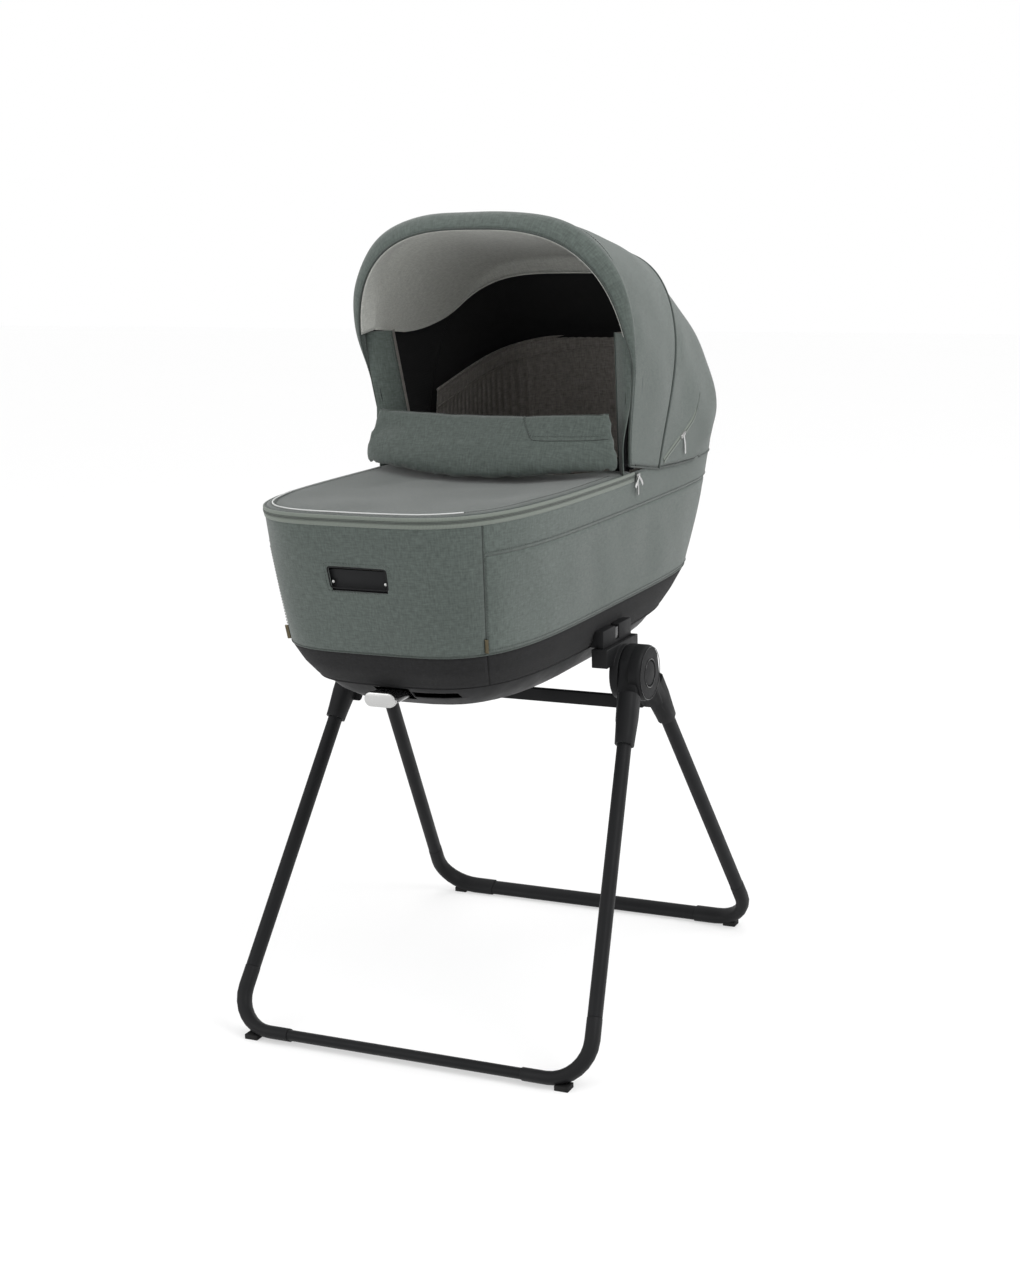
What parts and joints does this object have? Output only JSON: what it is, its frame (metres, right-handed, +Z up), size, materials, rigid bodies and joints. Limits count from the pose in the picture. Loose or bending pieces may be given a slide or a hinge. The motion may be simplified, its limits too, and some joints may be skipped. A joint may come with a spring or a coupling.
{
  "type": "bassinet on folding stand",
  "caption": "Carrycot with an arched folding hood, zip-on apron and pull-knob release, resting in the sockets of a folding A-frame stand.",
  "frame": {"origin": "on the floor, under the middle of the object's box", "axes": "+X to the right-hand side seen from the foot end, -Y to the foot end, +Y to the hooded head end, +Z up"},
  "size_m": [0.5648, 0.918, 1.1476],
  "materials": {
    "tube": "anodised dark grey, satin",
    "moulding": "fine-grained black moulding",
    "pad": "matt black",
    "satin_metal": "satin silver cap",
    "steel": "bright steel",
    "green_cloth": "grey-green woven melange",
    "black_cloth": "black woven",
    "lining_cloth": "light grey-green lining",
    "cream_cloth": "cream cotton",
    "board": "dark grey board"
  },
  "bodies": {
    "rear_frame": {"rear_leg_tube_right": "tube", "rear_leg_tube_left": "tube", "rear_corner_elbow_right": "moulding", "rear_corner_elbow_left": "moulding", "rear_foot_pad_right": "pad", "rear_foot_pad_left": "pad", "rear_floor_bar": "tube", "rear_knuckle_right": "moulding", "rear_knuckle_left": "moulding", "pivot_pin_right": "steel", "pivot_pin_left": "steel", "hub_socket_right": "moulding", "hub_socket_left": "moulding", "crossbar": "tube", "crossbar_bracket_right": "moulding", "crossbar_bracket_left": "moulding"},
    "front_frame": {"front_leg_tube_right": "tube", "front_leg_tube_left": "tube", "front_corner_elbow_right": "moulding", "front_corner_elbow_left": "moulding", "front_foot_pad_right": "pad", "front_foot_pad_left": "pad", "front_floor_bar": "tube", "front_knuckle_right": "moulding", "front_knuckle_left": "moulding"},
    "fold_button_right": {"fold_button_right": "moulding"},
    "fold_button_left": {"fold_button_left": "moulding"},
    "carrycot": {"tub_cover": "green_cloth", "tub_skirt": "black_cloth", "tub_wall": "lining_cloth", "rim_rail": "tube", "base_tray": "moulding", "front_grip": "moulding", "adapter_plate_right": "moulding", "adapter_plate_left": "moulding", "mattress_foot": "cream_cloth", "zip_band": "lining_cloth", "hood_cover": "green_cloth", "hood_lining": "lining_cloth", "hood_pivot_right": "moulding", "hood_pivot_left": "moulding", "side_wing_right": "green_cloth", "side_wing_left": "green_cloth"},
    "release_knob": {"release_knob_cap": "satin_metal", "release_knob_neck": "moulding", "release_bar": "steel"},
    "latch_right": {"adapter_latch_right": "moulding"},
    "latch_left": {"adapter_latch_left": "moulding"},
    "backrest": {"backrest_board": "board", "mattress_head": "cream_cloth"},
    "apron_cover": {"apron": "green_cloth"},
    "flap": {"wind_flap": "green_cloth"},
    "hood_front": {"front_bow": "moulding", "visor": "green_cloth"},
    "hood_middle": {"middle_bow": "moulding"},
    "zip_slider_right": {"zip_slider_right": "steel"},
    "zip_slider_left": {"zip_slider_left": "steel"}
  },
  "joints": [
    {"name": "stand_fold", "type": "hinge", "parent": "rear_frame", "child": "front_frame", "pos_m": [0, -0.021, 0.498], "axis": [1, 0, 0], "range_deg": [0, 65]},
    {"name": "fold_button_press_right", "type": "slide", "parent": "rear_frame", "child": "fold_button_right", "axis": [-1, 0, 0], "range_m": [0, 0.003], "stiffness_N_per_m": 800},
    {"name": "fold_button_press_left", "type": "slide", "parent": "rear_frame", "child": "fold_button_left", "axis": [1, 0, 0], "range_m": [0, 0.003], "stiffness_N_per_m": 800},
    {"name": "carrycot_lift", "type": "slide", "parent": "rear_frame", "child": "carrycot", "axis": [0, 0, 1], "range_m": [0, 0.15]},
    {"name": "release_knob_pull", "type": "slide", "parent": "carrycot", "child": "release_knob", "axis": [0, -1, 0], "range_m": [0, 0.01], "stiffness_N_per_m": 300},
    {"name": "latch_draw_right", "type": "slide", "parent": "carrycot", "child": "latch_right", "axis": [-1, 0, 0], "range_m": [0, 0.003]},
    {"name": "latch_draw_left", "type": "slide", "parent": "carrycot", "child": "latch_left", "axis": [1, 0, 0], "range_m": [0, 0.003]},
    {"name": "backrest_tilt", "type": "hinge", "parent": "carrycot", "child": "backrest", "pos_m": [0, 0.039, 0.551], "axis": [1, 0, 0], "range_deg": [0, 20]},
    {"name": "apron_open", "type": "hinge", "parent": "carrycot", "child": "apron_cover", "pos_m": [0, -0.453, 0.779], "axis": [1, 0, 0], "range_deg": [0, 75]},
    {"name": "flap_fold", "type": "hinge", "parent": "apron_cover", "child": "flap", "pos_m": [0, -0.089, 0.79], "axis": [1, 0, 0], "range_deg": [0, 95]},
    {"name": "hood_fold", "type": "hinge", "parent": "carrycot", "child": "hood_front", "pos_m": [0, 0.04, 0.787], "axis": [-1, 0, 0], "range_deg": [0, 80], "deforming": ["hood_cover", "hood_lining", "side_wing_right", "side_wing_left"]},
    {"name": "hood_middle_fold", "type": "hinge", "parent": "carrycot", "child": "hood_middle", "pos_m": [0, 0.04, 0.787], "axis": [-1, 0, 0], "range_deg": [0, 48]},
    {"name": "zip_slide_right", "type": "slide", "parent": "carrycot", "child": "zip_slider_right", "axis": [0, -1, 0], "range_m": [0, 0.2]},
    {"name": "zip_slide_left", "type": "slide", "parent": "carrycot", "child": "zip_slider_left", "axis": [0, -1, 0], "range_m": [0, 0.2]}
  ],
  "couplings": [
    {"joint": "hood_middle_fold", "follows": "hood_fold", "ratio": 0.6},
    {"joint": "latch_draw_right", "follows": "release_knob_pull", "ratio": 0.3},
    {"joint": "latch_draw_left", "follows": "release_knob_pull", "ratio": 0.3}
  ]
}
